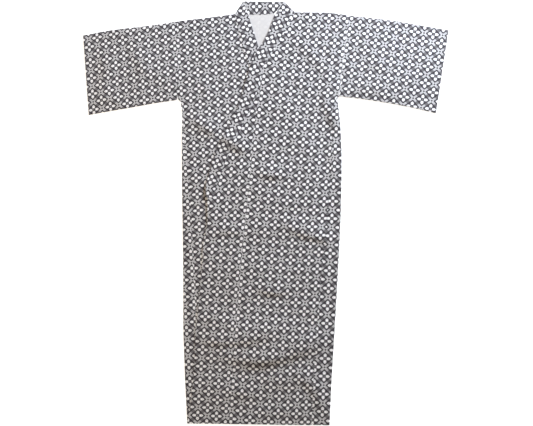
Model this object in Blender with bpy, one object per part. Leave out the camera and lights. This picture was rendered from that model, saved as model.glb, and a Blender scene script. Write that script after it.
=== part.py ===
# Cotton robe with straight short sleeves, laid flat and closed, collar end towards +Y.
# All sizes below are in millimetres. Wearer's right is on the -X side.
import math

import bpy
import numpy as np

MM = 0.001
CLOTH_THICK = 1.2
BAND_THICK = 1.8
SEAM_GAP = 0.3
BACK_Z = CLOTH_THICK / 2
FRONT_Z = BACK_Z + CLOTH_THICK + SEAM_GAP
OVERLAP_RISE = 2.1
OVERLAP_MARGIN = 20.0
OVERLAP_FADE = 55.0
ARMPIT_Y = 399.0
NECK_Y = 708.0
HEM_Y = -757.0
HEM_RISE = 10.0
CENTRE_BACK_X = -6.0
BAND_END_Y = 45.0
TIP_Y = 455.0
NECK_COLUMNS = 3
PANEL_COLUMNS = 9
OKUMI_COLUMNS = 6
BAND_COLUMNS = 3
SLEEVE_COLUMNS = 11
SLEEVE_ROWS = 11
FOLD_STEPS = 4
STRIP_COLUMNS = 2


def table(columns, rows):
    return {name: np.array([row[i] for row in rows], float) for i, name in enumerate(columns)}


# The laid-flat body below the armpits. The back turns round each side and comes forward to the side seam.
BODY = table(("y", "right_edge", "right_seam", "left_seam", "left_edge"), (
    (-757, -260, -220, 180, 243),
    (-600, -269, -225, 188, 251),
    (-430, -276, -229, 198, 262),
    (-290, -277, -235, 210, 271),
    (-130, -279, -245, 227, 280),
    (-30, -281, -247, 236, 285),
    (70, -283, -254, 246, 288),
    (150, -284, -259, 252, 289),
    (210, -285, -272, 256, 289),
    (300, -285, -279, 252, 285),
    (350, -284, -279, 256, 280),
    (392, -290, -286, 270, 276),
))
# The wearer's left front, which lies on top: collar edge, collar seam and front panel seam.
UPPER = table(("y", "edge", "band_seam", "okumi_seam"), (
    (45, -195, -172, -43),
    (90, -195, -155, -39),
    (150, -180, -133, -34),
    (215, -159, -108, -29),
    (253, -141, -90, -24),
    (295, -115, -65, -20),
    (358, -87, -36, -13),
    (405, -68, -16, -4),
    (455, -55, -1, 4),
    (517, -36, 14, 14),
    (582, -5, 56, 56),
    (600, 10, 69, 69),
    (640, 30, 91, 91),
    (700, 52, 122, 122),
    (708, 58, 126, 126),
    (722, 68.5, 112, 112),
    (745, 86, 89, 89),
))
UPPER_LOW = table(("y", "okumi_edge", "okumi_seam"), (
    (-757, -260, -113),
    (-694, -249, -107),
    (-588, -236, -98),
    (-428, -231, -86),
    (-293, -217, -75),
    (-197, -208, -67),
    (-125, -205, -61),
    (-43, -189, -52),
    (42, -189, -43),
))
# The wearer's right front, hidden below the other one from the collar crossing down.
UNDER = table(("y", "band_seam", "edge", "okumi_seam"), (
    (45, 164, 187, 35),
    (90, 147, 187, 31),
    (150, 125, 172, 26),
    (215, 100, 151, 21),
    (253, 82, 133, 17),
    (295, 57, 107, 12),
    (358, 28, 79, 5),
    (405, 8, 60, -2),
    (455, -5, 46, -10),
    (517, -40, 26, -40),
    (582, -63, -5, -63),
    (624, -73, -18, -73),
    (650, -80, -27, -80),
    (679, -87, -36, -87),
    (708, -92, -45, -92),
    (730, -78, -52, -78),
    (753, -62, -59, -62),
))
UNDER_LOW = table(("y", "okumi_edge", "okumi_seam"), (
    (-757, 160, 105),
    (-600, 168, 92),
    (-430, 178, 79),
    (-293, 186, 67),
    (-125, 190, 52),
    (42, 181, 35),
))
# The upper edge of the laid robe: shoulder folds with the straight neck seam of the back between them.
SHOULDER = table(("x", "y"), (
    (-304, 690), (-182, 700), (-92, 709), (-6, 700.5), (126, 707), (245, 702), (315, 689),
))
ARMHOLE = table(("y", "right", "left"), (
    (399, -297, 280), (420, -303, 282.5), (690, -304, 315),
))
SLEEVES = {
    "right": table(("part", "top_x", "top_y", "low_x", "low_y"), (
        (0.0, -304, 690, -303, 400),
        (0.25, -393, 679, -386, 390),
        (0.5, -482, 672, -469, 377),
        (0.75, -571, 664, -551, 365),
        (1.0, -659, 650, -634, 352),
    )),
    "left": table(("part", "top_x", "top_y", "low_x", "low_y"), (
        (0.0, 315, 689, 280.5, 400),
        (0.25, 401, 676, 363, 388),
        (0.5, 487, 661, 447, 373),
        (0.75, 573, 642, 530, 355),
        (1.0, 659, 623, 613, 333),
    )),
}
# Broad soft folds of the upper cloth, each a rounded ridge.
FOLDS = table(("x", "y", "turn", "length", "width", "height"), (
    (-130, -395, -12, 85, 26, 2.6),
    (35, -420, 10, 90, 28, 2.4),
    (165, -470, 24, 80, 30, 2.6),
    (-70, -520, -14, 100, 30, 2.4),
    (95, -590, 9, 100, 30, 2.4),
    (-125, -650, 6, 80, 30, 1.8),
    (60, -60, 5, 110, 32, 1.8),
    (20, -235, -4, 120, 32, 1.8),
    (-40, 90, 12, 70, 30, 1.6),
    (170, 290, 52, 80, 28, 2.2),
    (190, 560, 70, 70, 30, 1.8),
    (-215, 300, -38, 70, 26, 2.0),
    (-190, 560, 75, 70, 30, 1.8),
    (-430, 520, 84, 80, 30, 2.2),
    (-560, 500, 78, 80, 30, 1.8),
    (430, 520, 80, 80, 30, 2.2),
    (550, 480, 70, 80, 30, 1.8),
))


def at(rows, name, y):
    return float(np.interp(y, rows["y"], rows[name]))


def smooth(value):
    value = min(max(value, 0.0), 1.0)
    return value * value * (3 - 2 * value)


def hem_y(x):
    return HEM_Y + HEM_RISE * (x - BODY["right_edge"][0]) / (BODY["left_edge"][0] - BODY["right_edge"][0])


def station_y(y, x, back=False):
    """Height of a cross row at x: bent to the shoulder line above the armpits and to the hem line below."""
    if y > ARMPIT_Y:
        inside = UPPER["band_seam"].max() if x > CENTRE_BACK_X else UNDER["band_seam"].min()
        top_x = x if back or abs(x - CENTRE_BACK_X) > abs(inside - CENTRE_BACK_X) else inside
        top = float(np.interp(top_x, SHOULDER["x"], SHOULDER["y"]))
        return ARMPIT_Y + (y - ARMPIT_Y) * (top - ARMPIT_Y) / (NECK_Y - ARMPIT_Y)
    if y < 0:
        return y * hem_y(x) / HEM_Y
    return y


def fold_height(x, y):
    total = 0.0
    for i in range(len(FOLDS["x"])):
        turn = math.radians(FOLDS["turn"][i])
        dx = x - FOLDS["x"][i]
        dy = y - FOLDS["y"][i]
        along = (dx * math.cos(turn) + dy * math.sin(turn)) / FOLDS["length"][i]
        across = (dy * math.cos(turn) - dx * math.sin(turn)) / FOLDS["width"][i]
        total += FOLDS["height"][i] * math.exp(-along ** 2 - across ** 2)
    return total


def under_right_limit(y):
    return at(UNDER, "edge", y) if y >= BAND_END_Y else at(UNDER_LOW, "okumi_edge", y)


def upper_limit(y):
    return at(UPPER, "edge", y) if y >= BAND_END_Y else at(UPPER_LOW, "okumi_edge", y)


def upper_z(x, y):
    """Middle of the wearer's left front: raised where the other front lies below it."""
    away = (x - under_right_limit(y) - OVERLAP_MARGIN) / OVERLAP_FADE
    return FRONT_Z + OVERLAP_RISE * (1 - smooth(away)) + fold_height(x, y)


def under_z(x, y):
    """Middle of the wearer's right front: flat where it is covered."""
    clear = (upper_limit(y) - 25 - x) / 50
    return FRONT_Z + fold_height(x, y) * smooth(clear)


def arc(start, end, outward):
    """Round turn between two points of the cloth's middle, bulging along the unit vector outward."""
    start = np.array(start, float)
    end = np.array(end, float)
    middle = (start + end) / 2
    half = (start - end) / 2
    reach = np.array(outward, float) * np.linalg.norm(half)
    steps = [math.pi * i / FOLD_STEPS for i in range(1, FOLD_STEPS)]
    return [tuple(middle + half * math.cos(s) + reach * math.sin(s)) for s in steps]


def stations():
    top = list(np.linspace(NECK_Y, TIP_Y, 10)) + [427.0, ARMPIT_Y, 392.0]
    middle = list(np.linspace(364, BAND_END_Y, 12)) + [42.0]
    return top, middle, list(np.linspace(14, HEM_Y, 27))


def armhole_x(side, y):
    return at(ARMHOLE, side, station_y(y, ARMHOLE[side][-1], back=True))


def body_panel(side):
    """One length of cloth from the back hem over the shoulder to the front hem, the back turned round the side."""
    sign = -1 if side == "right" else 1
    front_z = under_z if side == "right" else upper_z
    neck_x = SHOULDER["x"][2] if side == "right" else SHOULDER["x"][4]
    front_rows = UNDER if side == "right" else UPPER
    front_low = UNDER_LOW if side == "right" else UPPER_LOW
    top, middle, low = stations()
    levels = top + middle + low
    last = NECK_COLUMNS + PANEL_COLUMNS
    rows = []
    for y in reversed(levels):
        row = {}
        if y >= ARMPIT_Y:
            outer = armhole_x(side, y) - sign * SEAM_GAP / 2
        else:
            edge = at(BODY, side + "_edge", y)
            turn = (front_z(edge, y) - BACK_Z) / 2
            outer = edge - sign * (turn + CLOTH_THICK / 2)
        inner = CENTRE_BACK_X + sign * SEAM_GAP / 2
        for column in range(last + 1):
            if column <= NECK_COLUMNS:
                x = inner + (neck_x - inner) * column / NECK_COLUMNS
            else:
                x = neck_x + (outer - neck_x) * (column - NECK_COLUMNS) / PANEL_COLUMNS
            drop = 0.0
            if y == NECK_Y and column >= NECK_COLUMNS:
                drop = (front_z(x, station_y(y, x)) - BACK_Z) / 2 + CLOTH_THICK / 2
            row[column] = (x, station_y(y, x, back=True) - drop, BACK_Z)
        if y < ARMPIT_Y:
            back_y = row[last][1]
            seam = at(BODY, side + "_seam", y) + sign * SEAM_GAP / 2
            start = row[last]
            end = (outer, back_y, front_z(outer, y))
            turn_points = arc(start, end, (sign, 0, 0)) + [end]
            for i, point in enumerate(turn_points):
                row[last + 1 + i] = point
            for i in range(1, STRIP_COLUMNS + 1):
                x = outer + (seam - outer) * i / STRIP_COLUMNS
                row[last + len(turn_points) + i] = (x, back_y, front_z(x, y))
        rows.append(row)
    crown = rows[-1]
    first_front = {}
    for y in levels:
        row = {}
        if y > TIP_Y:
            inner = at(front_rows, "band_seam", y)
        elif y >= BAND_END_Y:
            inner = at(front_rows, "okumi_seam", y)
        else:
            inner = at(front_low, "okumi_seam", y)
        inner += sign * SEAM_GAP / 2
        if y >= ARMPIT_Y:
            outer = armhole_x(side, y) - sign * SEAM_GAP / 2
        else:
            outer = at(BODY, side + "_seam", y) - sign * SEAM_GAP / 2
        for i in range(PANEL_COLUMNS + 1):
            column = NECK_COLUMNS + i
            x = inner + (outer - inner) * i / PANEL_COLUMNS
            if y == NECK_Y:
                x, back_y, _ = crown[column]
                row[column] = (x, back_y, front_z(x, back_y))
            else:
                at_y = station_y(y, x)
                row[column] = (x, at_y, front_z(x, at_y))
        if not first_front:
            first_front = row
            turns = {c: arc(crown[c], row[c], (0, 1, 0)) for c in row}
            for step in range(FOLD_STEPS - 1):
                rows.append({c: turns[c][step] for c in row})
        rows.append(row)
    return rows


def okumi_panel(side):
    """Narrow front panel between the body panel and the free front edge, pointed at its top."""
    sign = -1 if side == "right" else 1
    front_rows = UNDER if side == "right" else UPPER
    front_low = UNDER_LOW if side == "right" else UPPER_LOW
    front_z = under_z if side == "right" else upper_z
    top, middle, low = stations()
    rows = []
    for y in top[9:] + middle + low:
        if y >= BAND_END_Y:
            seam = at(front_rows, "okumi_seam", y)
            free = at(front_rows, "band_seam", y) + sign * SEAM_GAP / 2
        else:
            seam = at(front_low, "okumi_seam", y)
            free = at(front_low, "okumi_edge", y)
        seam -= sign * SEAM_GAP / 2
        row = {}
        for column in range(OKUMI_COLUMNS + 1):
            x = free + (seam - free) * column / OKUMI_COLUMNS
            at_y = station_y(y, x)
            row[column] = (x, at_y, front_z(x, at_y))
        rows.append(row)
    return rows


def band_lift(y):
    """How far the collar's top end comes down from the fronts to the surface beyond the shoulder."""
    return (FRONT_Z - CLOTH_THICK / 2) * smooth((y - 712) / 36)


def collar_run(side):
    """Doubled band along a front's slanted neck edge, from the back of the neck to its lower end."""
    front_rows = UNDER if side == "right" else UPPER
    front_z = under_z if side == "right" else upper_z
    top, middle, low = stations()
    ends = [float(v) for v in front_rows["y"][:-3:-1]]
    sign = -1 if side == "right" else 1
    rows = []
    for y in ends + top + middle[:-2] + [BAND_END_Y + 2 * SEAM_GAP]:
        free = at(front_rows, "edge", y)
        seam = at(front_rows, "band_seam", y) - sign * SEAM_GAP / 2
        row = {}
        for column in range(BAND_COLUMNS + 1):
            x = free + (seam - free) * column / BAND_COLUMNS
            at_y = y if y > NECK_Y else station_y(y, x)
            z = front_z(x, at_y) + (BAND_THICK - CLOTH_THICK) / 2 - band_lift(at_y)
            row[column] = (x, at_y, z)
        rows.append(row)
    return rows


def collar_back():
    """Back neck length of the band, lying beyond the neck seam."""
    upper_row = (UNDER["edge"][-1], UNDER["y"][-1], UPPER["edge"][-1], UPPER["y"][-1])
    lower_x = (-43.4, -24.0, -6.0, 13.0, 32.0, 52.0)
    rows = []
    for step in range(4):
        part = step / 3
        row = {}
        for column, x in enumerate(lower_x):
            across = (x - lower_x[0]) / (lower_x[-1] - lower_x[0])
            far_x = upper_row[0] + 1 + (upper_row[2] - upper_row[0] - 2) * across
            far_y = upper_row[1] + (upper_row[3] - upper_row[1]) * across
            near_y = float(np.interp(x, SHOULDER["x"], SHOULDER["y"])) + SEAM_GAP
            row[column] = (x + (far_x - x) * part, near_y + (far_y - near_y) * part, BAND_THICK / 2)
        rows.append(row)
    return rows


def sleeve(side):
    """Straight tube of one cloth pressed flat, with a fold at its top and a seam at its lower edge."""
    sign = -1 if side == "right" else 1
    line = SLEEVES[side]
    rows = []
    for step in range(SLEEVE_ROWS + 1):
        part = step / SLEEVE_ROWS
        top = np.array([np.interp(part, line["part"], line[k]) for k in ("top_x", "top_y")])
        low = np.array([np.interp(part, line["part"], line[k]) for k in ("low_x", "low_y")])
        if step == 0:
            top[0] += sign * SEAM_GAP / 2
            low[0] += sign * SEAM_GAP / 2
        along = (top - low) / np.linalg.norm(top - low)
        turn_top = (FRONT_Z + fold_height(*top) - BACK_Z) / 2 + CLOTH_THICK / 2
        turn_low = (FRONT_Z + fold_height(*low) - BACK_Z) / 2 + CLOTH_THICK / 2
        high_point = top - along * turn_top
        low_point = low + along * turn_low
        flat = [low_point + (high_point - low_point) * i / SLEEVE_COLUMNS for i in range(SLEEVE_COLUMNS + 1)]
        loop = [(p[0], p[1], BACK_Z) for p in flat]
        over = [(p[0], p[1], FRONT_Z + fold_height(p[0], p[1])) for p in reversed(flat)]
        loop += arc(loop[-1], over[0], (along[0], along[1], 0))
        loop += over
        loop += arc(over[-1], loop[0], (-along[0], -along[1], 0))
        rows.append(dict(enumerate(loop)))
    return rows


def build(name, rows, thick, colour, closed=False):
    """Wall of even thickness about the middle points, closed all round its edges."""
    index = {}
    points = []
    for r, row in enumerate(rows):
        for c, point in row.items():
            index[(r, c)] = len(points)
            points.append(point)
    points = np.array(points)
    quads = []
    for r in range(len(rows) - 1):
        for c in rows[r]:
            following = (c + 1) % len(rows[r]) if closed else c + 1
            keys = ((r, c), (r, following), (r + 1, following), (r + 1, c))
            if all(k in index for k in keys):
                quads.append([index[k] for k in keys])
    normals = np.zeros_like(points)
    for a, b, c, d in quads:
        normal = np.cross(points[c] - points[a], points[d] - points[b])
        normal /= np.linalg.norm(normal)
        for k in (a, b, c, d):
            normals[k] += normal
    normals /= np.linalg.norm(normals, axis=1)[:, None]
    count = len(points)
    verts = np.vstack([points + normals * thick / 2, points - normals * thick / 2]) * MM
    faces = []
    edges = set()
    for a, b, c, d in quads:
        faces += [(a, b, c), (a, c, d)]
        faces += [(c + count, b + count, a + count), (d + count, c + count, a + count)]
        edges |= {(a, b), (b, c), (c, d), (d, a)}
    for a, b in edges:
        if (b, a) not in edges:
            faces += [(b, a, a + count), (b, a + count, b + count)]
    mesh = bpy.data.meshes.new(name)
    mesh.from_pydata(verts.tolist(), [], sorted(faces))
    mesh.polygons.foreach_set("use_smooth", [True] * len(mesh.polygons))
    material = bpy.data.materials.new(name + "_cotton")
    material.use_nodes = True
    shader = material.node_tree.nodes["Principled BSDF"]
    shader.inputs["Base Color"].default_value = (*colour, 1.0)
    shader.inputs["Roughness"].default_value = 0.85
    shader.inputs["Metallic"].default_value = 0.0
    mesh.materials.append(material)
    made = bpy.data.objects.new(name, mesh)
    bpy.context.collection.objects.link(made)
    return made


def centre_on_origin(objects):
    """Moves the robe so that its box stands on the origin."""
    corners = np.array([v.co[:] for o in objects for v in o.data.vertices])
    low = corners.min(axis=0)
    high = corners.max(axis=0)
    shift = ((low[0] + high[0]) / 2, (low[1] + high[1]) / 2, low[2])
    for thing in objects:
        for vertex in thing.data.vertices:
            vertex.co.x -= shift[0]
            vertex.co.y -= shift[1]
            vertex.co.z -= shift[2]


for old in list(bpy.data.objects):
    bpy.data.objects.remove(old, do_unlink=True)

COTTON = (0.27, 0.27, 0.28)
BAND_COTTON = (0.25, 0.25, 0.27)
pieces = [
    build("body_right", body_panel("right"), CLOTH_THICK, COTTON),
    build("body_left", body_panel("left"), CLOTH_THICK, COTTON),
    build("okumi_right", okumi_panel("right"), CLOTH_THICK, COTTON),
    build("okumi_left", okumi_panel("left"), CLOTH_THICK, COTTON),
    build("sleeve_right", sleeve("right"), CLOTH_THICK, COTTON, closed=True),
    build("sleeve_left", sleeve("left"), CLOTH_THICK, COTTON, closed=True),
    build("collar_right", collar_run("right"), BAND_THICK, BAND_COTTON),
    build("collar_left", collar_run("left"), BAND_THICK, BAND_COTTON),
    build("collar_back", collar_back(), BAND_THICK, BAND_COTTON),
]
centre_on_origin(pieces)
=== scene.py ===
import math

import bmesh
import bpy
import numpy as np
from mathutils import Matrix, Vector


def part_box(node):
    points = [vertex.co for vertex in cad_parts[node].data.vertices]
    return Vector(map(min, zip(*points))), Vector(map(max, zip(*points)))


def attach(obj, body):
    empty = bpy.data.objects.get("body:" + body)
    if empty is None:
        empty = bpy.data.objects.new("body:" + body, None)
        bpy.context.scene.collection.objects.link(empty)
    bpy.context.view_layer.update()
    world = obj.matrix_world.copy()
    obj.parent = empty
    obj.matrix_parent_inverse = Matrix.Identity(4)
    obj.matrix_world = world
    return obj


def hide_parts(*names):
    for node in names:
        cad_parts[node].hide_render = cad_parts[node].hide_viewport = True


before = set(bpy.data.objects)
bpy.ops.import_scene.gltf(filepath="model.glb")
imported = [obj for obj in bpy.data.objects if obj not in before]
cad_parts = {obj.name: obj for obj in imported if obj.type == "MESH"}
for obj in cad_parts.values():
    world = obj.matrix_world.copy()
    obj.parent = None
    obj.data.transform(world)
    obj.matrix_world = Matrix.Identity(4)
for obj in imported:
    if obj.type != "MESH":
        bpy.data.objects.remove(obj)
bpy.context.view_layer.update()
print("frame loaded")

mm = 0.001
hemLow, hemRise = -757.0, 10.0  # the hem's height at its right end, and its rise to the left end
armpitY, neckY, bandEndY, tipY = 399.0, 708.0, 45.0, 455.0
centreBackX = -6.0
seamGap = 0.12  # between two shells at a seam
cadSheet = 1.2  # the solids' wall, mm
wall = 0.6  # the shells' wall, mm
backZ = 0.6
frontZ = 2.1
overlapRise, overlapMargin, overlapFade = 2.1, 20.0, 55.0
acrossPitch, alongPitch = 66.5, 60.5  # the printed repeat, mm


def table(columns, rows):
    return {name: np.array([row[i] for row in rows], float) for i, name in enumerate(columns)}


# the garment's outline and seams, in mm, collar end up, wearer's right at -X
body = table(("y", "rightEdge", "rightSeam", "leftSeam", "leftEdge"), (
    (-757, -260, -220, 180, 243),
    (-600, -269, -225, 188, 251),
    (-430, -276, -229, 198, 262),
    (-290, -277, -235, 210, 271),
    (-130, -279, -245, 227, 280),
    (-30, -281, -247, 236, 285),
    (70, -283, -254, 246, 288),
    (150, -284, -259, 252, 289),
    (210, -285, -272, 256, 289),
    (300, -285, -279, 252, 285),
    (350, -284, -279, 256, 280),
    (392, -290, -286, 270, 276),
))
upper = table(("y", "edge", "bandSeam", "okumiSeam"), (
    (45, -195, -172, -43),
    (90, -195, -155, -39),
    (150, -180, -133, -34),
    (215, -159, -108, -29),
    (253, -141, -90, -24),
    (295, -115, -65, -20),
    (358, -87, -36, -13),
    (405, -68, -16, -4),
    (455, -55, -1, 4),
    (517, -36, 14, 14),
    (582, -5, 56, 56),
    (600, 10, 69, 69),
    (640, 30, 91, 91),
    (700, 52, 122, 122),
    (708, 58, 126, 126),
    (722, 68.5, 112, 112),
    (745, 86, 89, 89),
))
upperLow = table(("y", "okumiEdge", "okumiSeam"), (
    (-757, -260, -113),
    (-694, -249, -107),
    (-588, -236, -98),
    (-428, -231, -86),
    (-293, -217, -75),
    (-197, -208, -67),
    (-125, -205, -61),
    (-43, -189, -52),
    (42, -189, -43),
))
under = table(("y", "bandSeam", "edge", "okumiSeam"), (
    (45, 164, 187, 35),
    (90, 147, 187, 31),
    (150, 125, 172, 26),
    (215, 100, 151, 21),
    (253, 82, 133, 17),
    (295, 57, 107, 12),
    (358, 28, 79, 5),
    (405, 8, 60, -2),
    (455, -5, 46, -10),
    (517, -40, 26, -40),
    (582, -63, -5, -63),
    (624, -73, -18, -73),
    (650, -80, -27, -80),
    (679, -87, -36, -87),
    (708, -92, -45, -92),
    (730, -78, -52, -78),
    (753, -62, -59, -62),
))
underLow = table(("y", "okumiEdge", "okumiSeam"), (
    (-757, 160, 105),
    (-600, 168, 92),
    (-430, 178, 79),
    (-293, 186, 67),
    (-125, 190, 52),
    (42, 181, 35),
))
shoulder = table(("x", "y"), (
    (-304, 690), (-182, 700), (-92, 709), (-6, 700.5), (126, 707), (245, 702), (315, 689),
))
armhole = table(("y", "right", "left"), ((399, -297, 280), (420, -303, 282.5), (690, -304, 315)))
sleeveLines = {
    "right": table(("part", "topX", "topY", "lowX", "lowY"), (
        (0.0, -304, 690, -303, 400),
        (0.25, -393, 679, -386, 390),
        (0.5, -482, 672, -469, 377),
        (0.75, -571, 664, -551, 365),
        (1.0, -659, 650, -634, 352),
    )),
    "left": table(("part", "topX", "topY", "lowX", "lowY"), (
        (0.0, 315, 689, 280.5, 400),
        (0.25, 401, 676, 363, 388),
        (0.5, 487, 661, 447, 373),
        (0.75, 573, 642, 530, 355),
        (1.0, 659, 623, 613, 333),
    )),
}
ridgeNames = ("x", "y", "turn", "length", "width", "height")
# the solids' broad folds
folds = table(ridgeNames, (
    (-130, -395, -12, 85, 26, 2.6),
    (35, -420, 10, 90, 28, 2.4),
    (165, -470, 24, 80, 30, 2.6),
    (-70, -520, -14, 100, 30, 2.4),
    (95, -590, 9, 100, 30, 2.4),
    (-125, -650, 6, 80, 30, 1.8),
    (60, -60, 5, 110, 32, 1.8),
    (20, -235, -4, 120, 32, 1.8),
    (-40, 90, 12, 70, 30, 1.6),
    (170, 290, 52, 80, 28, 2.2),
    (190, 560, 70, 70, 30, 1.8),
    (-215, 300, -38, 70, 26, 2.0),
    (-190, 560, 75, 70, 30, 1.8),
    (-430, 520, 84, 80, 30, 2.2),
    (-560, 500, 78, 80, 30, 1.8),
    (430, 520, 80, 80, 30, 2.2),
    (550, 480, 70, 80, 30, 1.8),
))
# the creases that show, as in the photo: crest places, steep on the hem side
creases = table(ridgeNames, (
    (83, -510, 13, 150, 22, 4.8),
    (13, -531, 12, 62, 19, 3.0),
    (-87, -463, 4, 108, 18, 3.8),
    (-157, -471, 2, 36, 13, 1.4),
    (78, -449, 3, 150, 34, 3.0),
    (184, -621, -51, 62, 16, 3.0),
    (211, -675, -60, 30, 13, 1.6),
    (-112, -74, 6, 52, 14, 2.8),
    (171, -88, -16, 76, 15, 3.2),
    (223, -106, -24, 34, 12, 1.4),
    (48, -290, -2, 55, 13, 3.8),
    (-57, -299, 5, 42, 12, 1.2),
    (43, 123, -3, 46, 14, 4.2),
    (-62, 132, 8, 46, 14, 1.2),
    (-134, 264, -31, 96, 16, 3.2),
    (-90, 224, -18, 42, 14, 2.8),
    (-214, 304, -40, 44, 13, 1.6),
    (-198, 22, -80, 78, 20, 2.2),
    (-208, 86, -62, 30, 14, 1.6),
    (-194, -163, -82, 52, 17, 1.4),
    (244, 354, -72, 78, 15, 3.4),
    (250, 312, -66, 30, 13, 1.4),
    (258, 172, -86, 85, 17, 2.3),
    (203, 527, -51, 120, 14, 1.9),
    (250, 560, -52, 88, 11, 1.4),
    (148, 452, -34, 52, 13, 1.3),
    (73, 360, 5, 42, 14, 1.4),
    (-54, 474, -20, 34, 13, 1.2),
    (-132, 572, 52, 70, 15, 1.2),
    (-217, 452, -46, 56, 14, 1.3),
    (-400, 500, -34, 90, 18, 1.4),
    (-548, 410, -16, 60, 17, 1.4),
    (-468, 580, -72, 50, 15, 0.8),
    (-578, 540, -80, 55, 16, 1.2),
    (424, 501, -4, 46, 14, 1.8),
    (390, 421, -8, 82, 18, 2.4),
    (512, 450, 14, 56, 16, 1.3),
    (377, 580, -74, 60, 15, 1.2),
    (572, 520, -76, 60, 16, 1.3),
    (622, 400, -40, 40, 14, 1.3),
    (-54, -647, -8, 70, 16, 1.5),
    (66, -712, 3, 78, 13, 1.4),
    (-164, -627, 24, 46, 15, 1.2),
    (-22, -203, -8, 62, 15, 1.2),
    (138, -213, 5, 58, 15, 1.1),
    (178, -353, -10, 56, 16, 1.2),
    (108, 22, -8, 62, 15, 1.2),
    (168, 212, 22, 46, 14, 1.1),
))
creaseRise, deepest = 1.4, -0.55
lightSide = 2.6  # how much gentler a crease is towards the collar and the wearer's left


def at(rows, name, y):
    return np.interp(y, rows["y"], rows[name])


def smooth(value):
    value = np.clip(value, 0.0, 1.0)
    return value * value * (3 - 2 * value)


def hemY(x):
    return hemLow + hemRise * (x - body["rightEdge"][0]) / (body["leftEdge"][0] - body["rightEdge"][0])


def stationY(y, x, back=False):  # a cross row's height at x, bent to the shoulder and hem lines
    x = np.asarray(x, float)
    if y > armpitY:
        inside = np.where(x > centreBackX, upper["bandSeam"].max(), under["bandSeam"].min())
        topX = x if back else np.where(abs(x - centreBackX) > abs(inside - centreBackX), x, inside)
        top = np.interp(topX, shoulder["x"], shoulder["y"])
        return armpitY + (y - armpitY) * (top - armpitY) / (neckY - armpitY)
    return y * hemY(x) / hemLow if y < 0 else np.full_like(x, y)


def ridges(rows, x, y, gentle=1.0):
    total = np.zeros(np.broadcast(x, y).shape)
    for i in range(len(rows["x"])):
        turn = math.radians(rows["turn"][i])
        dx, dy = x - rows["x"][i], y - rows["y"][i]
        along = (dx * math.cos(turn) + dy * math.sin(turn)) / rows["length"][i]
        bow = 0.12 * rows["length"][i] * along ** 2 * (1 if i % 2 else -1) * (gentle > 1)
        across = (dy * math.cos(turn) - dx * math.sin(turn) + bow) / rows["width"][i]
        across = np.where(across > 0, across / gentle, across)
        total += rows["height"][i] * np.exp(-along ** 2 - across ** 2)
    return total


def relief(x, y):  # broad folds plus the creases and the cloth's own unevenness
    slow = 0.30 * np.sin(x / 31 + 1.3 * np.sin(y / 57)) * np.sin(y / 43 + 1.1 * np.sin(x / 71))
    fine = 0.12 * np.sin(x / 9.7 + 2.1 * np.sin(y / 23)) * np.sin(y / 12.3 + 1.7 * np.sin(x / 29))
    raised = ridges(folds, x, y) + creaseRise * ridges(creases, x, y, lightSide)
    return np.maximum(raised + slow + fine, deepest)


def backLevel(x, y):  # the back lies flat, with only slight creases of its own
    return backZ + np.clip(0.1 * ridges(creases, -x, y - 30), 0, 0.3)


def underLimit(y):
    return np.where(y >= bandEndY, at(under, "edge", y), at(underLow, "okumiEdge", y))


def upperLimit(y):
    return np.where(y >= bandEndY, at(upper, "edge", y), at(upperLow, "okumiEdge", y))


def hemStep(y, x):  # the turned-up hem is a little thicker
    return 0.45 * smooth((hemY(x) + 22 - y) / 3)


def upperZ(x, y):
    away = (x - underLimit(y) - overlapMargin) / overlapFade
    return frontZ + overlapRise * (1 - smooth(away)) + relief(x, y) + hemStep(y, x)


def underZ(x, y):
    clear = (upperLimit(y) - 12 - x) / 40
    return frontZ + relief(x, y) * smooth(clear) + hemStep(y, x)


def arcRow(start, end, outward, steps=5):  # rows or columns of a round turn between two lines of points
    middle, half = (start + end) / 2, (start - end) / 2
    reach = np.asarray(outward, float) * np.linalg.norm(half, axis=-1, keepdims=True)
    turns = [math.pi * i / steps for i in range(1, steps)]
    return [middle + half * math.cos(s) + reach * math.sin(s) for s in turns]


# how the photo's pixels lie on the floor: its middle, the camera's tilt over a span, which a fit of the
# repeats' spacing gave, mm a pixel, and the move to the part's middle
photoFloor = dict(middle=(266.5, 213.0), tilt=(0.0436, 0.0145), span=250.0, pixel=3.55, move=(22.87, -10.55))


def floorPlace(x, y):  # a photo pixel's place on the floor, in mm
    dx, dy = x - photoFloor["middle"][0], y - photoFloor["middle"][1]
    depth = 1 + (photoFloor["tilt"][0] * dx + photoFloor["tilt"][1] * dy) / photoFloor["span"]
    scale = photoFloor["pixel"] / depth
    return dx * scale + photoFloor["move"][0], -dy * scale + photoFloor["move"][1]


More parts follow.
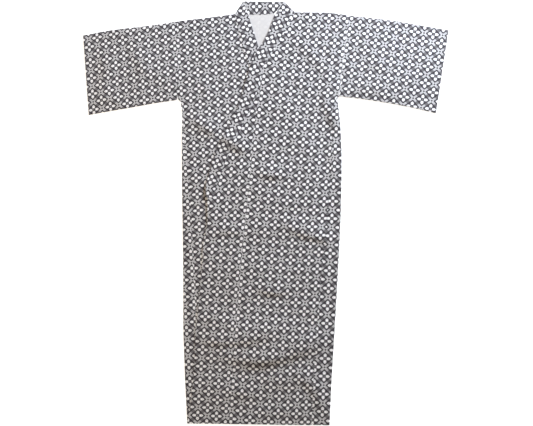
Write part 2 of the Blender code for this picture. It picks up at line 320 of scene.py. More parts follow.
# flowers read off the enlarged photo: repeats across and along from one of them, and the pixel
flowerNames = ("across", "along", "pixelX", "pixelY")
flowers = {
    "bodyLeft": table(flowerNames, (
        (0, -2, 308.5, 35), (1, -2, 326.5, 36.5), (0.5, -2.5, 319, 28), (1.5, -2.5, 337.5, 28.5),
        (-0.5, -0.5, 296, 58), (-1, 0, 285.5, 66.5), (0, 0, 303.5, 66.5), (0.5, 0.5, 312, 75),
        (-1, 1, 283.5, 82), (0, 1, 301.5, 83.5), (-1.5, 2.5, 270, 105.5), (-0.5, 2.5, 289, 107),
        (-1, 4, 275, 131), (1, 4, 312, 132.5), (0, 5, 292, 148.5), (2, 5, 329.5, 149),
        (-1.5, 5.5, 263.5, 155.5), (1, 6, 309, 166), (-1, 8, 268.5, 199), (0, 8, 287.5, 200),
        (2, 8, 325, 202), (1, 10, 303, 235), (-1, 12, 262, 267.5), (0, 12, 280.5, 269),
        (1.5, 12.5, 308.5, 278.5), (-1, 14, 258.5, 302), (1, 14, 296.5, 304), (-1.5, 15.5, 246.5, 327.5),
        (0.5, 15.5, 285.5, 330), (1.5, 15.5, 304.5, 330.5), (0.5, 17.5, 281.5, 362.5),
        (-1.5, 18.5, 243.5, 376), (-0.5, 18.5, 262.5, 376.5), (2, 19, 307.5, 387),
        (-1.5, 20.5, 241.5, 407.5), (1, 20, 286.5, 403), (2, 20, 305.5, 404.5),
    )),
    "okumiLeft": table(flowerNames, (
        (-0.5, -3.5, 218, 198), (0.5, -3.5, 236.5, 198.5), (0, -3, 226.5, 207), (-0.5, -2.5, 216.5, 214.5),
        (0.5, -2.5, 235, 215.5), (0, -2, 225, 224), (1, -2, 243.5, 224.5), (-0.5, -1.5, 214.5, 232),
        (0.5, -1.5, 233, 232), (-0.5, -0.5, 212.5, 248.5), (0, 0, 221.5, 257), (1, 0, 239.5, 258),
        (0.5, 0.5, 229.5, 266.5), (0, 1, 219, 274.5), (1, 1, 237.5, 275.5), (0.5, 1.5, 227.5, 284),
        (0, 2, 217.5, 291), (0, 3, 215.5, 308), (-0.5, 3.5, 205.5, 316), (0.5, 3.5, 223, 317.5),
        (-0.5, 4.5, 203.5, 333.5), (0.5, 4.5, 222.5, 334.5), (0, 7, 210.5, 374), (0.5, 7.5, 219, 382.5),
    )),
    "sleeveLeft": table(flowerNames, (
        (-2, 0, 357, 41), (-1, 0, 375.5, 43.5), (0, 0, 394.5, 46), (1, 0, 412.5, 49), (2, 0, 431.5, 51.5),
        (-1.5, -0.5, 368, 34), (-0.5, -0.5, 386, 37), (0.5, -0.5, 405.5, 38.5), (-1.5, 0.5, 364.5, 51.5),
        (-0.5, 0.5, 384, 53), (0.5, 0.5, 402.5, 55), (1.5, 0.5, 420.5, 57.5), (-2, 1, 354.5, 57.5),
        (-1, 1, 373, 60), (0, 1, 392, 62.5), (1, 1, 409.5, 65.5), (2, 1, 428, 68), (-1.5, 1.5, 362.5, 67),
        (-0.5, 1.5, 380.5, 69.5), (0.5, 1.5, 399.5, 72), (1.5, 1.5, 417.5, 74.5), (-2, 2, 352.5, 73.5),
        (-1, 2, 370.5, 76), (2, 2, 425.5, 84.5), (-0.5, 2.5, 377.5, 85.5), (0.5, 2.5, 396.5, 88),
        (-2, 3, 350, 90), (1, 3, 404.5, 95),
    )),
    "sleeveRight": table(flowerNames, (
        (-1, -1, 105.5, 43.5), (0, -1, 122, 40), (-1.5, -0.5, 98, 53), (-0.5, -0.5, 114.5, 49.5),
        (0.5, -0.5, 130.5, 46), (1.5, -0.5, 148.5, 43), (-1, 0, 107.5, 59), (0, 0, 123.5, 55.5),
        (1, 0, 140, 52), (2, 0, 158, 49.5), (-0.5, 0.5, 115.5, 65), (0.5, 0.5, 132.5, 61.5),
        (1.5, 0.5, 149.5, 58.5), (0, 1, 124.5, 71.5), (-0.5, 1.5, 116.5, 81), (0.5, 1.5, 134, 78),
        (0, 2, 125.5, 87.5), (-0.5, 2.5, 118, 96.5),
    )),
    "bodyRight": table(flowerNames, (
        (0.5, -3.5, 213, 22), (0, -2, 205, 46.5), (1, -2, 223, 44.5), (-0.5, -1.5, 196.5, 56.5),
        (0.5, -1.5, 214.5, 54), (0, -1, 206.5, 64.5), (-0.5, -0.5, 198, 72.5), (0.5, -0.5, 215.5, 70),
        (-1, 0, 189.5, 82.5), (0, 0, 207.5, 80), (1, 0, 225, 77), (-0.5, 0.5, 199, 88), (0.5, 0.5, 217, 86),
        (0, 1, 208.5, 95.5), (0.5, 1.5, 218.5, 102), (-1, 2, 191.5, 112.5), (0.5, 2.5, 219, 118),
    )),
}
bowed = ("bodyLeft", "okumiLeft")  # long panels, whose grain bends on its way to the hem
# where few flowers show, or none, one flower's place and the repeats' lengths and directions
plainGrains = {
    "okumiRight": dict(flower=(100, -280), across=(66, 2), along=(60, -87)),
    "stripLeft": dict(flower=(266, 213), across=(66, -3), along=(61, -93)),
    "stripRight": dict(flower=(-266, 81), across=(66, 4), along=(60, -86)),
}


def grainTerms(dx, dy, bends):
    terms = [np.ones_like(dx), dx, dy]
    if bends:
        terms += [dx * dx, dx * dy, dy * dy]
    return np.stack(terms, -1)


def readGrain(name):  # how a panel's repeats run, agreeing best with the flowers read
    rows = flowers[name]
    x, y = floorPlace(rows["pixelX"], rows["pixelY"])
    middle = (x.mean(), y.mean())
    terms = grainTerms(x - middle[0], y - middle[1], name in bowed)
    counts = np.stack([rows["across"], rows["along"]], -1)
    return dict(middle=middle, run=np.linalg.lstsq(terms, counts, rcond=None)[0])


grains = {name: readGrain(name) for name in flowers}


def printPlace(name, x, y):  # distance across and along the cloth, in mm, at a place on the laid sheet
    x, y = np.broadcast_arrays(np.asarray(x, float), np.asarray(y, float))
    if name in grains:
        middle = grains[name]["middle"]
        counts = grainTerms(x - middle[0], y - middle[1], name in bowed) @ grains[name]["run"]
    else:
        plain = plainGrains[name]
        steps = [(size * math.cos(math.radians(turn)), size * math.sin(math.radians(turn)))
                 for size, turn in (plain["across"], plain["along"])]
        away = np.stack([x - plain["flower"][0], y - plain["flower"][1]], -1)
        counts = away @ np.linalg.inv(np.array(steps))
    return counts * np.array([acrossPitch, alongPitch])


shift = Vector((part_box("sleeve_right")[0].x / mm + 659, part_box("body_right")[0].y / mm + 757, 0))
print("table shift in mm", [round(v, 2) for v in shift])


def mathNode(tree, kind, *values, clamp=False):
    node = tree.nodes.new("ShaderNodeMath")
    node.operation, node.use_clamp = kind, clamp
    for i, value in enumerate(values):
        if isinstance(value, (int, float)):
            node.inputs[i].default_value = value
        else:
            tree.links.new(value, node.inputs[i])
    return node.outputs[0]


def clothPlace(tree):  # the place on the flat cloth
    place = tree.nodes.new("ShaderNodeUVMap")
    place.uv_map = "cloth"
    return place.outputs[0]


def below(tree, value, edge, soft=0.014):  # 1 where value is under edge
    return mathNode(tree, "MULTIPLY_ADD", value, -1 / soft, edge / soft + 0.5, clamp=True)


def above(tree, value, edge, soft=0.014):
    return mathNode(tree, "MULTIPLY_ADD", value, 1 / soft, -edge / soft + 0.5, clamp=True)


def blend(tree, start, end, share):  # start where share is 0, end where it is 1
    step = mathNode(tree, "SUBTRACT", end, start)
    return mathNode(tree, "MULTIPLY_ADD", step, share, start)


# one flower's diamond, charted off the enlarged photo, which is too coarse to show its thinnest line's width:
# sizes in repeats, levels 0 ink to 1 bare cloth
motif = dict(
    ground=0.10,
    # a petal's length and half width at its root and where it is widest
    petal=dict(root=(0.10, 0.06), widest=(0.27, 0.085), tip=0.36, soft=0.02),
    petalDot=dict(place=0.21, radius=0.02, flatten=0.85, level=0.3),
    cornerDot=dict(place=(0.12, 0.12), radius=0.04, level=0.0),
    disc=dict(radius=0.10, level=0.02),
    eye=dict(radius=0.02, level=0.5),
    outline=(0.30, 0.42),  # distances from the middle, where the diamond's dark edge begins and ends
    band=dict(level=0.6, line=0.49, lineLevel=0.03),
    block=dict(half=0.14, level=0.15, line=0.485),
    crossing=dict(ring=0.08, ringLevel=0.9, dot=0.06, dotLevel=0.03),
    soft=0.02,
)


def latticePrint(tree):  # brightness of the printed diamond lattice with four-petal flowers
    m = lambda kind, *v, **k: mathNode(tree, kind, *v, **k)
    split = tree.nodes.new("ShaderNodeSeparateXYZ")
    tree.links.new(clothPlace(tree), split.inputs[0])
    a = m("DIVIDE", split.outputs[0], acrossPitch * mm)
    b = m("DIVIDE", split.outputs[1], alongPitch * mm)
    p, q = m("ADD", a, b), m("SUBTRACT", a, b)
    p, q = m("SUBTRACT", p, m("ROUND", p)), m("SUBTRACT", q, m("ROUND", q))
    absP, absQ = m("ABSOLUTE", p), m("ABSOLUTE", q)
    far, near = m("MAXIMUM", absP, absQ), m("MINIMUM", absP, absQ)
    x = m("ABSOLUTE", m("MULTIPLY", m("ADD", p, q), 0.5))
    y = m("ABSOLUTE", m("MULTIPLY", m("SUBTRACT", p, q), 0.5))
    centre = m("SQRT", m("ADD", m("MULTIPLY", x, x), m("MULTIPLY", y, y)))
    length, breadth = m("MAXIMUM", x, y), m("MINIMUM", x, y)
    # petals: along the nearer axis, widest beyond the middle and pointed at the diamond's corner
    shape, soft = motif["petal"], motif["soft"]
    rootLength, rootWidth = shape["root"]
    wideLength, wideWidth = shape["widest"]
    opens = (wideWidth - rootWidth) / (wideLength - rootLength)
    closes = -wideWidth / (shape["tip"] - wideLength)
    taper = m("MINIMUM", m("MULTIPLY_ADD", length, opens, rootWidth - opens * rootLength),
              m("MULTIPLY_ADD", length, closes, -closes * shape["tip"]))
    petal = below(tree, m("SUBTRACT", breadth, taper), 0.0, shape["soft"])
    level = blend(tree, motif["ground"], 1.0, petal)
    dot = motif["petalDot"]
    petalX, petalY = m("SUBTRACT", length, dot["place"]), m("MULTIPLY", breadth, dot["flatten"])
    petalDot = m("SQRT", m("ADD", m("MULTIPLY", petalX, petalX), m("MULTIPLY", petalY, petalY)))
    level = blend(tree, level, dot["level"], below(tree, petalDot, dot["radius"]))
    dot = motif["cornerDot"]
    cornerX, cornerY = m("SUBTRACT", x, dot["place"][0]), m("SUBTRACT", y, dot["place"][1])
    cornerDot = m("SQRT", m("ADD", m("MULTIPLY", cornerX, cornerX), m("MULTIPLY", cornerY, cornerY)))
    level = blend(tree, level, dot["level"], below(tree, cornerDot, dot["radius"], soft))
    for dot in (motif["disc"], motif["eye"]):
        level = blend(tree, level, dot["level"], below(tree, centre, dot["radius"], soft))
    # outline, light stripes, the line between them and the dark blocks half-way along each side
    inner, outer = motif["outline"]
    outline = m("MULTIPLY", above(tree, far, inner), below(tree, far, outer))
    stripe = above(tree, far, outer)
    band, block = motif["band"], motif["block"]
    outside = blend(tree, band["level"], band["lineLevel"], above(tree, far, band["line"]))
    inBlock = blend(tree, block["level"], band["lineLevel"], above(tree, far, block["line"]))
    outside = blend(tree, outside, inBlock, below(tree, near, block["half"], 0.03))
    cornerP, cornerQ = m("SUBTRACT", 0.5, absP), m("SUBTRACT", 0.5, absQ)
    crossing = m("SQRT", m("MULTIPLY", m("ADD", m("MULTIPLY", cornerP, cornerP),
                                         m("MULTIPLY", cornerQ, cornerQ)), 0.5))
    mark = motif["crossing"]
    outside = blend(tree, outside, mark["ringLevel"], below(tree, crossing, mark["ring"], soft))
    outside = blend(tree, outside, mark["dotLevel"], below(tree, crossing, mark["dot"]))
    level = blend(tree, level, 0.0, outline)
    return blend(tree, level, outside, stripe)


weave = dict(pitch=0.0007, threads=0.3, slubScale=900.0, depth=0.0003, strength=0.18,
             fadeScale=22.0, fade=0.07)


def clothMaterial(name, ink, bare, printed=1.0, roughness=0.86, sheen=0.12):
    made = bpy.data.materials.new(name)
    made.use_nodes = True
    tree = made.node_tree
    shader = tree.nodes["Principled BSDF"]
    level = latticePrint(tree)
    # the dye took a little unevenly
    patch = tree.nodes.new("ShaderNodeTexNoise")
    patch.inputs["Scale"].default_value = weave["fadeScale"]
    patch.inputs["Detail"].default_value = 3.0
    tree.links.new(clothPlace(tree), patch.inputs["Vector"])
    level = mathNode(tree, "MULTIPLY_ADD", patch.outputs["Fac"], weave["fade"], level)
    level = mathNode(tree, "SUBTRACT", level, weave["fade"] / 2, clamp=True)
    if printed < 1:
        level = mathNode(tree, "MULTIPLY_ADD", level, printed, 1 - printed)
    mix = tree.nodes.new("ShaderNodeMix")
    mix.data_type = "RGBA"
    tree.links.new(level, mix.inputs["Factor"])
    mix.inputs["A"].default_value = (*ink, 1)
    mix.inputs["B"].default_value = (*bare, 1)
    tree.links.new(mix.outputs["Result"], shader.inputs["Base Color"])
    shader.inputs["Roughness"].default_value = roughness
    shader.inputs["Sheen Weight"].default_value = sheen
    shader.inputs["Sheen Roughness"].default_value = 0.6
    shader.inputs["Specular IOR Level"].default_value = 0.25
    # plain weave: crossing threads with uneven slubs, as a very shallow bump
    place = clothPlace(tree)
    split = tree.nodes.new("ShaderNodeSeparateXYZ")
    tree.links.new(place, split.inputs[0])
    turns = math.tau / weave["pitch"]
    warp, weft = (mathNode(tree, "SINE", mathNode(tree, "MULTIPLY", split.outputs[i], turns)) for i in (0, 1))
    threads = mathNode(tree, "MULTIPLY", warp, weft)
    slub = tree.nodes.new("ShaderNodeTexNoise")
    slub.inputs["Scale"].default_value = weave["slubScale"]
    slub.inputs["Detail"].default_value = 2.0
    tree.links.new(place, slub.inputs["Vector"])
    bump = tree.nodes.new("ShaderNodeBump")
    bump.inputs["Strength"].default_value = weave["strength"]
    bump.inputs["Distance"].default_value = weave["depth"]
    height = mathNode(tree, "MULTIPLY_ADD", threads, weave["threads"], slub.outputs["Fac"])
    tree.links.new(height, bump.inputs["Height"])
    tree.links.new(bump.outputs["Normal"], shader.inputs["Normal"])
    return made


inkColour, bareColour = (0.027, 0.021, 0.028), (0.80, 0.782, 0.797)
outsideCloth = clothMaterial("printedCotton", inkColour, bareColour)
insideCloth = clothMaterial("wrongSide", (0.34, 0.33, 0.36), (0.53, 0.505, 0.50), printed=0.2)


def clothSheet(name, places, cloth, node, slot, flat, area, restsOn, bothSides=False):
    # places and cloth are grids of points, not-a-number where the panel has no cloth
    rows, columns = places.shape[:2]
    bm = bmesh.new()
    bmesh.ops.create_grid(bm, x_segments=columns - 1, y_segments=rows - 1, size=1)
    ordered = sorted(bm.verts, key=lambda v: (round(v.co.y, 6), round(v.co.x, 6)))
    flatPlaces, flatCloth = places.reshape(-1, 3), cloth.reshape(-1, 2)
    uvOf = {}
    gone = []
    for vert, place, spot in zip(ordered, flatPlaces, flatCloth):
        if math.isnan(place[0]):
            gone.append(vert)
            continue
        vert.co = (Vector(place) + shift) * mm
        uvOf[vert] = spot * mm
    bmesh.ops.delete(bm, geom=gone, context="VERTS")
    layer = bm.loops.layers.uv.new("cloth")
    for face in bm.faces:
        face.smooth = True
        for loop in face.loops:
            loop[layer].uv = uvOf[loop.vert]
    bm.normal_update()
    top = max(bm.faces, key=lambda f: f.calc_center_median().z)
    if top.normal.z < 0:
        bmesh.ops.reverse_faces(bm, faces=bm.faces[:])
    mesh = bpy.data.meshes.new(name)
    bm.to_mesh(mesh)
    bm.free()
    piece = bpy.data.objects.new(name, mesh)
    bpy.context.collection.objects.link(piece)
    mesh.materials.append(outsideCloth)
    mesh.materials.append(outsideCloth if bothSides else insideCloth)
    solid = piece.modifiers.new("wall", "SOLIDIFY")
    solid.thickness, solid.offset = wall * mm, 0.0
    solid.material_offset, solid.material_offset_rim = 1, 0
    solid.use_even_offset = False
    done = bpy.data.meshes.new_from_object(piece.evaluated_get(bpy.context.evaluated_depsgraph_get()))
    piece.modifiers.clear()
    piece.data = done
    done.name = name
    done.set_sharp_from_angle(angle=math.radians(50))
    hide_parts(node)
    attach(piece, "root")
    print(name, len(done.polygons), "faces")
    return piece


detail = dict(chest=5.0, skirt=5.5, panelColumns=56, okumiColumns=26, neckColumns=10, stripColumns=9,
              backRows=64, turnSteps=5)
frontLevels = np.concatenate([
    np.arange(neckY, armpitY, -detail["chest"]), [armpitY],
    np.arange(392, bandEndY, -detail["skirt"]), [bandEndY, 42.0],
    np.arange(37.0, hemLow, -detail["skirt"]), [hemLow],
])
backLevels = np.concatenate([
    np.linspace(hemLow, 42, 36), [45.0], np.linspace(60, 392, 20), [armpitY], np.linspace(415, neckY, 16),
])


def armholeX(side, y):
    return at(armhole, side, stationY(y, armhole[side][-1], back=True))


def seamRoll(x, edge, depth=0.4, reach=3.5):  # cloth goes down a little into a seam
    return -depth * np.exp(-((x - edge) / reach) ** 2)


def bodyPiece(side):
    sign = -1 if side == "right" else 1
    topZ = underZ if side == "right" else upperZ
    neckX = shoulder["x"][2] if side == "right" else shoulder["x"][4]
    rowsOf, lowOf = (under, underLow) if side == "right" else (upper, upperLow)
    grain = "bodyRight" if side == "right" else "bodyLeft"
    strip = "stripRight" if side == "right" else "stripLeft"
    neckCount, count = detail["neckColumns"], detail["panelColumns"]
    last = neckCount + count
    width = last + 1 + (detail["turnSteps"] - 1) + 1 + detail["stripColumns"]
    places, cloth = [], []
    for y in backLevels:
        place, spot = np.full((width, 3), np.nan), np.full((width, 2), np.nan)
        edge = at(body, side + "Edge", y)
        if y >= armpitY:
            outer = armholeX(side, y) - sign * seamGap / 2
        else:
            turn = (topZ(edge, y) - backLevel(edge, y)) / 2
            outer = edge - sign * (turn + cadSheet / 2)
        inner = centreBackX + sign * seamGap / 2
        toNeck, toSide = np.linspace(inner, neckX, neckCount + 1), np.linspace(neckX, outer, count + 1)
        x = np.concatenate([toNeck, toSide[1:]])
        backY = stationY(y, x, back=True)
        if y == neckY:
            drop = (topZ(x, backY) - backLevel(x, backY)) / 2 + cadSheet / 2
            backY = np.where(np.arange(last + 1) >= neckCount, backY - drop, backY)
        z = backLevel(x, backY)
        place[:last + 1] = np.stack([x, backY, z], -1)
        spot[:last + 1] = printPlace(strip, 2 * edge - x, backY)
        if y < armpitY:
            seam = at(body, side + "Seam", y) + sign * seamGap / 2
            start = place[last].copy()
            end = np.array([outer, start[1], float(topZ(outer, y))])
            turns = arcRow(start, end, (sign, 0, 0), detail["turnSteps"]) + [end]
            for i, point in enumerate(turns):
                place[last + 1 + i] = point
                spot[last + 1 + i] = printPlace(strip, point[0], point[1])
            stripX = np.linspace(outer, seam, detail["stripColumns"] + 1)[1:]
            stripY = np.full_like(stripX, start[1])
            stripZ = topZ(stripX, stripY) + seamRoll(stripX, seam, 0.35)
            place[last + 1 + len(turns):] = np.stack([stripX, stripY, stripZ], -1)
            spot[last + 1 + len(turns):] = printPlace(strip, stripX, stripY)
        places.append(place)
        cloth.append(spot)
    crown = places[-1]
    for y in frontLevels:
        place, spot = np.full((width, 3), np.nan), np.full((width, 2), np.nan)
        if y > tipY:
            inner = at(rowsOf, "bandSeam", y)
        else:
            inner = at(rowsOf, "okumiSeam", y) if y >= bandEndY else at(lowOf, "okumiSeam", y)
        inner = inner + sign * seamGap / 2
        if y >= armpitY:
            outer = armholeX(side, y) - sign * seamGap / 2
        else:
            outer = at(body, side + "Seam", y) - sign * seamGap / 2
        if y == neckY:
            x, rowY = crown[neckCount:last + 1, 0], crown[neckCount:last + 1, 1]
        else:
            x = np.linspace(inner, outer, count + 1)
            rowY = stationY(y, x)
        z = topZ(x, rowY) + seamRoll(x, inner, 0.3) + seamRoll(x, outer, 0.25)
        place[neckCount:last + 1] = np.stack([x, rowY, z], -1)
        spot[neckCount:last + 1] = printPlace(grain, x, rowY)
        if y == neckY:
            inside = slice(neckCount, last + 1)
            for row in arcRow(crown[inside], place[inside], (0, 1, 0), detail["turnSteps"]):
                turned, turnedSpot = np.full((width, 3), np.nan), np.full((width, 2), np.nan)
                turned[inside], turnedSpot[inside] = row, printPlace(grain, row[:, 0], row[:, 1])
                places.append(turned)
                cloth.append(turnedSpot)
        places.append(place)
        cloth.append(spot)
    return np.array(places), np.array(cloth)


def okumiPiece(side):
    sign = -1 if side == "right" else 1
    rowsOf, lowOf = (under, underLow) if side == "right" else (upper, upperLow)
    topZ = underZ if side == "right" else upperZ
    grain = "okumiRight" if side == "right" else "okumiLeft"
    places, cloth = [], []
    for y in frontLevels[frontLevels <= tipY]:
        if y >= bandEndY:
            seam, free = at(rowsOf, "okumiSeam", y), at(rowsOf, "bandSeam", y) + sign * seamGap / 2
        else:
            seam, free = at(lowOf, "okumiSeam", y), at(lowOf, "okumiEdge", y)
        seam = seam - sign * seamGap / 2
        x = np.linspace(free, seam, detail["okumiColumns"] + 1)
        rowY = stationY(y, x)
        z = topZ(x, rowY) + seamRoll(x, seam, 0.3) + seamRoll(x, free, 0.2)
        places.append(np.stack([x, rowY, z], -1))
        cloth.append(printPlace(grain, x, rowY))
    return np.array(places), np.array(cloth)


# a flat tube's cross row, open at its low seam
def tubeLoop(low, high, lowZ, highZ, count, along, turnSteps=5):
    flatX = np.linspace(low[0], high[0], count + 1)
    flatY = np.linspace(low[1], high[1], count + 1)
    bottom = np.stack([flatX, flatY, lowZ(flatX, flatY)], -1)
    top = np.stack([flatX, flatY, highZ(flatX, flatY)], -1)[::-1]
    upTurn = arcRow(bottom[-1], top[0], (along[0], along[1], 0), turnSteps)
    downTurn = arcRow(top[-1], bottom[0], (-along[0], -along[1], 0), turnSteps)
    return np.vstack([bottom, upTurn, top, downTurn, bottom[:1] + np.array([[0, 0, 0.02]])])


def sleevePiece(side):
    sign = -1 if side == "right" else 1
    line = sleeveLines[side]
    settings = dict(rows=74, columns=52)
    grain = "sleeveRight" if side == "right" else "sleeveLeft"
    places, cloth = [], []
    for step in range(settings["rows"] + 1):
        part = step / settings["rows"]
        top = np.array([np.interp(part, line["part"], line[k]) for k in ("topX", "topY")])
        low = np.array([np.interp(part, line["part"], line[k]) for k in ("lowX", "lowY")])
        if step == 0:
            top[0] += sign * seamGap / 2
            low[0] += sign * seamGap / 2
        along = (top - low) / np.linalg.norm(top - low)
        toCuff = (1 - part) * 350
        toArmhole = part * 350
        thicker = 0.45 * smooth((14 - toCuff) / 3) - 0.25 * math.exp(-(toArmhole / 3.5) ** 2)
        highZ = lambda x, y: frontZ + relief(x, y) + thicker
        turnTop = (float(highZ(*top)) - float(backLevel(*top))) / 2 + cadSheet / 2
        turnLow = (float(highZ(*low)) - float(backLevel(*low))) / 2 + cadSheet / 2
        high, lower = top - along * turnTop, low + along * turnLow
        loop = tubeLoop(lower, high, backLevel, highZ, settings["columns"], along)
        spot = printPlace(grain, loop[:, 0], loop[:, 1])
        onBack = np.arange(len(loop)) <= settings["columns"]
        mirrored = loop[:, :2] + 2 * np.outer((high - loop[:, :2]) @ along, along)
        spot = np.where(onBack[:, None], printPlace(grain, mirrored[:, 0], mirrored[:, 1]), spot)
        places.append(loop)
        cloth.append(spot)
    return np.array(places), np.array(cloth)


def bandLift(y):
    return (frontZ - cadSheet / 2) * smooth((y - 712) / 36)


collar = dict(thick=1.8, columns=14, endRows=10, edgeRoll=0.25, rollReach=5.0)


def collarPiece(side, flower):
    # doubled band: a flat tube whose free edge is a fold and whose other edge is the neck seam
    sign = -1 if side == "right" else 1
    rowsOf = under if side == "right" else upper
    topZ = underZ if side == "right" else upperZ
    ends = np.linspace(rowsOf["y"][-1], neckY, collar["endRows"])[:-1]
    levels = np.concatenate([ends, frontLevels[frontLevels > bandEndY + 2], [bandEndY + 0.6]])
    centres = []
    places, cloth = [], []
    for y in levels:
        free, seam = at(rowsOf, "edge", y), at(rowsOf, "bandSeam", y) - sign * seamGap / 2
        rowX = np.array([free, seam])
        rowY = np.full(2, y) if y > neckY else stationY(y, rowX)
        centre = np.array([rowX.mean(), rowY.mean()])
        run = 0.0 if not centres else centres[-1][2] + np.linalg.norm(centre - centres[-1][:2])
        centres.append(np.array([*centre, run]))
        inward = sign * (wall / 2 + 0.45)
        low, high = np.array([seam - inward, rowY[1]]), np.array([free + inward, rowY[0]])
        if abs(high[0] - low[0]) < 1.0:
            low[0] = high[0] + sign * 0.5
        base = lambda x, yy: topZ(x, yy) - cadSheet / 2 - bandLift(yy) + wall / 2
        roll = lambda x: collar["edgeRoll"] * np.exp(-((x - free) / collar["rollReach"]) ** 2)
        raised = lambda x, yy: base(x, yy) + collar["thick"] - wall + roll(x)
        loop = tubeLoop(low, high, base, raised, collar["columns"], (-sign, 0))
        places.append(loop)
    centres = np.array(centres)
    step = np.gradient(centres[:, :2], axis=0)
    step /= np.linalg.norm(step, axis=1)[:, None]
    nearest = int(np.argmin(np.linalg.norm(centres[:, :2] - np.array(flower), axis=1)))
    offset = np.array(flower) - centres[nearest, :2]
    alongFlower = centres[nearest, 2] + offset @ step[nearest]
    acrossFlower = offset @ np.array([-step[nearest][1], step[nearest][0]])
    for loop, centre, direction in zip(places, centres, step):
        away = loop[:, :2] - centre[:2]
        across = away @ np.array([-direction[1], direction[0]]) - acrossFlower
        along = centre[2] + away @ direction - alongFlower
        cloth.append(np.stack([across, along], -1))
    return np.array(places), np.array(cloth)


def collarBackPiece():
    lowX = np.linspace(-43.4, 52.0, 25)
    farX, farY = (-58.0, 85.0), (753.0, 745.0)
    share = (lowX - lowX[0]) / (lowX[-1] - lowX[0])
    farRowX, farRowY = farX[0] + (farX[1] - farX[0]) * share, farY[0] + (farY[1] - farY[0]) * share
    nearY = np.interp(lowX, shoulder["x"], shoulder["y"]) + seamGap
    collarTop = lambda x, y: 1.0 + 1.5 * smooth((y - 704) / 48) + 0.1 * np.sin(x / 7)
    places, cloth = [], []
    for i in range(25):
        low, high = np.array([lowX[i], nearY[i] + 1.0]), np.array([farRowX[i], farRowY[i] - 0.8])
        loop = tubeLoop(low, high, lambda x, y: 0.38 + 0 * x, collarTop, 12, (0, 1))
        places.append(loop)
        cloth.append(np.stack([loop[:, 1] - 732.0, loop[:, 0] + 12.4], -1))
    return np.array(places), np.array(cloth)


clothSheet("frontAndBackRight", *bodyPiece("right"), "body_right", "cotton_body_right",
           (0.37, 2.90), 0.84, ["floor"])
clothSheet("frontAndBackLeft", *bodyPiece("left"), "body_left", "cotton_body_left",
           (0.37, 2.90), 0.83, ["frontAndBackRight", "okumiRight", "floor"])
clothSheet("okumiRight", *okumiPiece("right"), "okumi_right", "cotton_okumi_right",
           (0.16, 1.23), 0.14, ["frontAndBackRight"])
clothSheet("okumiLeft", *okumiPiece("left"), "okumi_left", "cotton_okumi_left",
           (0.16, 1.23), 0.17, ["frontAndBackRight"])
clothSheet("sleeveRight", *sleevePiece("right"), "sleeve_right", "cotton_sleeve_right",
           (0.36, 0.60), 0.206, ["floor"])
clothSheet("sleeveLeft", *sleevePiece("left"), "sleeve_left", "cotton_sleeve_left",
           (0.36, 0.60), 0.206, ["floor"])
clothSheet("collarRight", *collarPiece("right", (-48.6, 661.0)), "collar_right", "cotton_collar_right",
           (0.11, 0.80), 0.080, ["frontAndBackRight"], bothSides=True)
clothSheet("collarLeft", *collarPiece("left", (4.6, 557.9)), "collar_left", "cotton_collar_left",
           (0.11, 0.80), 0.075, ["frontAndBackRight"], bothSides=True)
clothSheet("collarBack", *collarBackPiece(), "collar_back", "cotton_collar_back",
           (0.11, 0.145), 0.0125, ["floor"], bothSides=True)
print("cloth made")

threadAndSeamShade = bpy.data.materials.new("sewingThreadAndSeamShade")
threadAndSeamShade.use_nodes = True
threadAndSeamShadeShader = threadAndSeamShade.node_tree.nodes["Principled BSDF"]
# near-black thread: real stitching on the hems, cuffs and collar; along the side, okumi and armhole seams it
# also stands as painted shade in the seam
threadAndSeamShadeShader.inputs["Base Color"].default_value = (0.035, 0.035, 0.045, 1)
threadAndSeamShadeShader.inputs["Roughness"].default_value = 0.65
threadAndSeamShadeShader.inputs["Sheen Weight"].default_value = 0.3


def stitchRow(name, line, pitch=4.0, radius=0.2):
    # running stitches along a line of points in mm, half sunk in the cloth; along the seams they also stand as
    # painted shade
    line = np.asarray(line, float)
    reach = np.concatenate([[0], np.cumsum(np.linalg.norm(np.diff(line, axis=0), axis=1))])
    bm = bmesh.new()
    for i, spot in enumerate(np.arange(pitch, reach[-1] - pitch, pitch)):
        half = pitch * (0.34 + 0.03 * math.sin(i * 2.3))
        ends = [Vector([np.interp(s, reach, line[:, k]) for k in range(3)]) for s in (spot - half, spot + half)]
        along = ends[1] - ends[0]
        turned = along.to_track_quat("Z", "Y").to_matrix().to_4x4()
        placed = Matrix.Translation(((ends[0] + ends[1]) / 2 + shift) * mm) @ turned
        bmesh.ops.create_cone(bm, cap_ends=True, segments=6, radius1=radius * mm, radius2=radius * mm,
                              depth=along.length * mm, matrix=placed)
    mesh = bpy.data.meshes.new(name)
    bm.to_mesh(mesh)
    bm.free()
    piece = bpy.data.objects.new(name, mesh)
    bpy.context.collection.objects.link(piece)
    mesh.materials.append(threadAndSeamShade)
    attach(piece, "root")
    print(name, len(mesh.polygons), "faces")
    return piece


def onTop(x, y, topZ, rise=0.0):  # points just in the cloth's upper face
    return np.stack([x, y, topZ(x, y) + wall / 2 + 0.04 + rise], -1)


sewing = dict(hemTurn=20.0, cuffTurn=12.0, okumiTurn=8.0, bandInset=2.0, bandRise=0.86)
hemX = np.linspace(-252, 236, 160)
stitchRow("hemStitches", onTop(hemX, hemY(hemX) + sewing["hemTurn"], upperZ))
edgeY = np.linspace(38, -735, 260)
stitchRow("okumiEdgeStitches", onTop(at(upperLow, "okumiEdge", edgeY) + sewing["okumiTurn"], edgeY, upperZ))
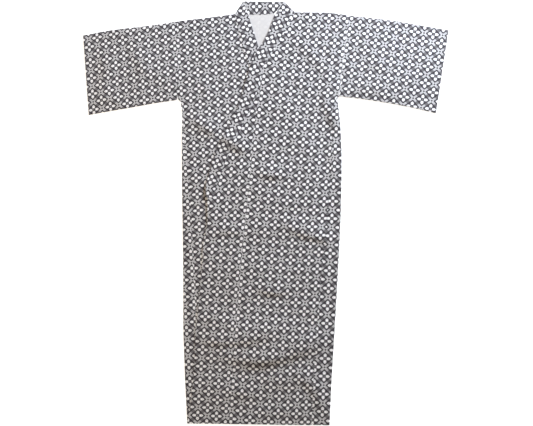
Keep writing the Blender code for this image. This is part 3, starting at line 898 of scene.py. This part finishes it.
# dark stitches sunk into the okumi seam: partly real stitching, partly painted shade along the seam
seamY = np.linspace(448, -738, 400)
seamX = np.where(seamY >= bandEndY, at(upper, "okumiSeam", seamY), at(upperLow, "okumiSeam", seamY))
stitchRow("okumiSeamStitchesAndShade", onTop(seamX, seamY, upperZ, -0.28), radius=0.16)
bandY = np.linspace(694, 56, 220)
stitchRow("collarLeftStitches", onTop(at(upper, "bandSeam", bandY) - sewing["bandInset"], bandY, upperZ,
                                      sewing["bandRise"]))
bandY = np.linspace(694, 530, 60)
stitchRow("collarRightStitches", onTop(at(under, "bandSeam", bandY) + sewing["bandInset"], bandY, underZ,
                                       sewing["bandRise"]))
# dark stitches sunk into the side seams: partly real stitching, partly painted shade along the seam
sideY = np.linspace(386, -738, 380)
stitchRow("sideSeamStitchesAndShadeRight", onTop(at(body, "rightSeam", sideY), sideY, underZ, -0.3),
          radius=0.16)
stitchRow("sideSeamStitchesAndShadeLeft", onTop(at(body, "leftSeam", sideY), sideY, upperZ, -0.3),
          radius=0.16)
for side in ("right", "left"):
    line = sleeveLines[side]
    part = 1 - sewing["cuffTurn"] / 350
    corners = [[np.interp(part, line["part"], line[end + axis]) for axis in "XY"]
               for end in ("top", "low")]
    cuffX, cuffY = (np.linspace(corners[0][i], corners[1][i], 90)[2:-2] for i in range(2))
    flatTop = lambda x, y: frontZ + relief(x, y)
    stitchRow("cuffStitches_" + side, onTop(cuffX, cuffY, flatTop, 0.45))
    # dark stitches sunk into the armhole seam: partly real stitching, partly painted shade along the seam
    holeY = np.linspace(684, 404, 90)
    stitchRow("armholeStitchesAndShade_" + side, onTop(at(armhole, side, holeY), holeY, flatTop, -0.2),
              radius=0.16)
print("sewing made")

# a plain white surface, a low cool lamp from beyond the left sleeve and a weak warm one from the other side
stageSettings = dict(size=12.0, colour=(0.93, 0.93, 0.93), roughness=0.9, glow=0.65,
                     worldColour=(1.0, 0.93, 0.80), worldStrength=0.415)
bm = bmesh.new()
bmesh.ops.create_grid(bm, x_segments=1, y_segments=1, size=stageSettings["size"] / 2)
floorMesh = bpy.data.meshes.new("floor")
bm.to_mesh(floorMesh)
bm.free()
floor = bpy.data.objects.new("floor", floorMesh)
bpy.context.collection.objects.link(floor)
floorMaterial = bpy.data.materials.new("whiteSurface")
floorMaterial.use_nodes = True
floorShader = floorMaterial.node_tree.nodes["Principled BSDF"]
floorShader.inputs["Base Color"].default_value = (*stageSettings["colour"], 1)
floorShader.inputs["Roughness"].default_value = stageSettings["roughness"]
floorShader.inputs["Emission Color"].default_value = (1, 1, 1, 1)
floorShader.inputs["Emission Strength"].default_value = stageSettings["glow"]
floorMesh.materials.append(floorMaterial)

world = bpy.data.worlds.new("soft")
world.use_nodes = True
world.node_tree.nodes["Background"].inputs["Color"].default_value = (*stageSettings["worldColour"], 1)
world.node_tree.nodes["Background"].inputs["Strength"].default_value = stageSettings["worldStrength"]
bpy.context.scene.world = world


lamps = {
    "key": dict(place=(1.5, 2.2, 0.9), aim=(0.1, 0.2, 0), size=0.6, power=190, colour=(0.80, 0.89, 1.0)),
    "fill": dict(place=(-1.8, -0.2, 1.3), aim=(-0.2, 0, 0), size=1.2, power=13, colour=(1.0, 0.74, 0.44)),
}


def areaLamp(name, place, aim, size, power, colour):
    lamp = bpy.data.lights.new(name, "AREA")
    lamp.shape, lamp.size = "SQUARE", size
    lamp.energy, lamp.color = power, colour
    holder = bpy.data.objects.new(name, lamp)
    bpy.context.collection.objects.link(holder)
    holder.location = place
    holder.visible_camera = False
    holder.rotation_mode = "QUATERNION"
    holder.rotation_quaternion = (Vector(aim) - Vector(place)).to_track_quat("-Z", "Y")


for name, settings in lamps.items():
    areaLamp(name, **settings)

# camera as the photo's: a little to the hem and the wearer's left, looking down
cameraSettings = dict(lens=37.15, place=(0.2091, -0.0708, 1.9426), right=(0.99544, 0.0, -0.09543),
                      up=(0.00304, 0.99949, 0.03174))
camera = bpy.data.objects.new("camera", bpy.data.cameras.new("camera"))
bpy.context.collection.objects.link(camera)
camera.data.lens = cameraSettings["lens"]
right, up = Vector(cameraSettings["right"]).normalized(), Vector(cameraSettings["up"]).normalized()
turned = Matrix((right, up, right.cross(up))).transposed().to_4x4()
camera.matrix_world = Matrix.Translation(cameraSettings["place"]) @ turned
bpy.context.scene.camera = camera
bpy.context.scene.view_settings.view_transform = "Standard"
bpy.context.scene.view_settings.exposure = 0.0
print("stage, light and camera made")
